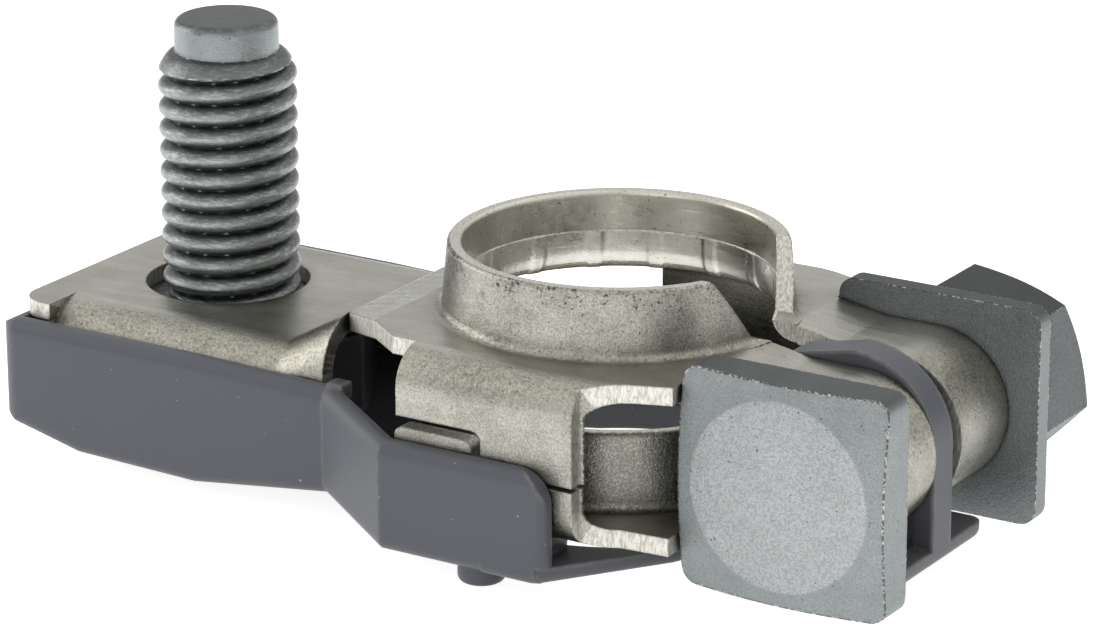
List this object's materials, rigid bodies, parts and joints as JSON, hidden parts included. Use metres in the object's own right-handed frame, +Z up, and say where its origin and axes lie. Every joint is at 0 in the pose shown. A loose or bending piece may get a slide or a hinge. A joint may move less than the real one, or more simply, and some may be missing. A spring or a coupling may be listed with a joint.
{
  "type": "battery terminal clamp",
  "caption": "Folded sheet-metal clamp for a battery post, with a bolt across its jaws, an upright threaded stud for a cable lug and a clip-on plastic tray.",
  "frame": {"origin": "on the axis of the battery post, in the plane of the upper collar's rim", "axes": "+Z up along the post, +X from the terminal stud towards the clamp bolt, -Y towards the bolt's square head"},
  "size_m": [0.0566, 0.0319, 0.0247],
  "materials": {
    "plated_sheet": "satin tin plating over folded sheet",
    "zinc_flake_bolt": "matt grainy zinc-flake coating",
    "zinc_flake_washer": "matt grainy zinc-flake coating",
    "zinc_flake_nut": "matt grainy zinc-flake coating",
    "zinc_flake_stud": "matt grainy zinc-flake coating",
    "moulded_plastic": "fine-textured moulded plastic"
  },
  "bodies": {
    "clamp": {"clamp_body": "plated_sheet", "clamp_bolt": "zinc_flake_bolt", "terminal_stud": "zinc_flake_stud", "retainer_tray": "moulded_plastic"},
    "washer": {"square_washer": "zinc_flake_washer"},
    "nut": {"clamp_nut": "zinc_flake_nut"}
  },
  "joints": [
    {"name": "washer_slide", "type": "slide", "parent": "clamp", "child": "washer", "axis": [0, 1, 0], "range_m": [0, 0.0025]},
    {"name": "nut_turn", "type": "hinge", "parent": "washer", "child": "nut", "pos_m": [0.0157, 0.01171, -0.00865], "axis": [0, 1, 0], "range_deg": [0, 900]}
  ],
  "couplings": [
    {"joint": "nut_turn", "follows": "washer_slide", "rad_per_m": 6283.2}
  ]
}
